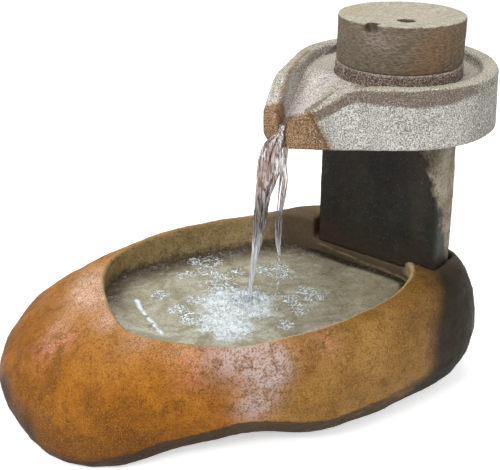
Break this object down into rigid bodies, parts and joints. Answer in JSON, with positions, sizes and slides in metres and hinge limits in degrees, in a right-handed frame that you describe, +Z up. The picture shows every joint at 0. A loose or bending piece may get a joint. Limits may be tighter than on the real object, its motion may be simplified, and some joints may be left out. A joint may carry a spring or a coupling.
{
  "type": "stone mill water fountain",
  "caption": "Hollowed boulder basin with a slab pillar, a round mill tray whose beak pours back into the basin, and a runner stone on a bed stone, fed by a hidden pump.",
  "frame": {"origin": "middle of the whole fountain's box in plan, on the ground under the boulder", "axes": "+X to the end where the pillar stands, -Y to the front where the beak pours, +Z up"},
  "size_m": [1.0578, 0.7138, 0.7844],
  "materials": {
    "boulder_stone": "smooth river stone, wet",
    "pillar_stone": "sawn slab, honed, partly wet",
    "tray_granite": "bush-hammered granite",
    "bed_granite": "tooled granite",
    "runner_granite": "tooled granite",
    "forged_iron": "forged, dark",
    "brass": "turned",
    "riser_copper": null,
    "stainless_steel": "brushed",
    "pump_plastic": "moulded, matt black",
    "impeller_plastic": "moulded, grey",
    "rubber": "moulded",
    "clear_hose": "smooth flexible hose",
    "ferrite": null
  },
  "bodies": {
    "fountain": {"bed_stone": "bed_granite", "boulder_basin": "boulder_stone", "cable_gland": "rubber", "hose_clamp_lower": "stainless_steel", "hose_clamp_upper": "stainless_steel", "locating_dowel_left": "stainless_steel", "locating_dowel_right": "stainless_steel", "mill_pin": "forged_iron", "mill_tray": "tray_granite", "outlet_nozzle": "pump_plastic", "pillar": "pillar_stone", "pump_hose": "clear_hose", "pump_motor_housing": "pump_plastic", "pump_shaft": "stainless_steel", "pump_volute": "pump_plastic", "rear_shaft_bush": "rubber", "riser_grommet": "rubber", "riser_pipe": "riser_copper", "suction_foot_1": "rubber", "suction_foot_2": "rubber", "suction_foot_3": "rubber", "suction_foot_4": "rubber", "volute_seal": "rubber"},
    "runner_bush": {"pin_bush": "brass"},
    "runner": {"runner_stone": "runner_granite"},
    "rotor": {"pump_impeller": "impeller_plastic", "rotor_magnet": "ferrite"},
    "strainer": {"strainer_cap": "pump_plastic", "front_shaft_bush": "rubber"}
  },
  "joints": [
    {"name": "runner_lift", "type": "slide", "parent": "fountain", "child": "runner_bush", "axis": [0, 0, 1], "range_m": [0, 0.08]},
    {"name": "runner_spin", "type": "hinge", "parent": "runner_bush", "child": "runner", "pos_m": [0.31818, 0.13413, 0.6882], "axis": [0, 0, 1], "continuous": true},
    {"name": "impeller_spin", "type": "hinge", "parent": "fountain", "child": "rotor", "pos_m": [0.28508, 0.15999, 0.1073], "axis": [0.6157, 0.788, 0], "continuous": true},
    {"name": "strainer_slide", "type": "slide", "parent": "fountain", "child": "strainer", "axis": [-0.6157, -0.788, 0], "range_m": [0, 0.06]}
  ]
}
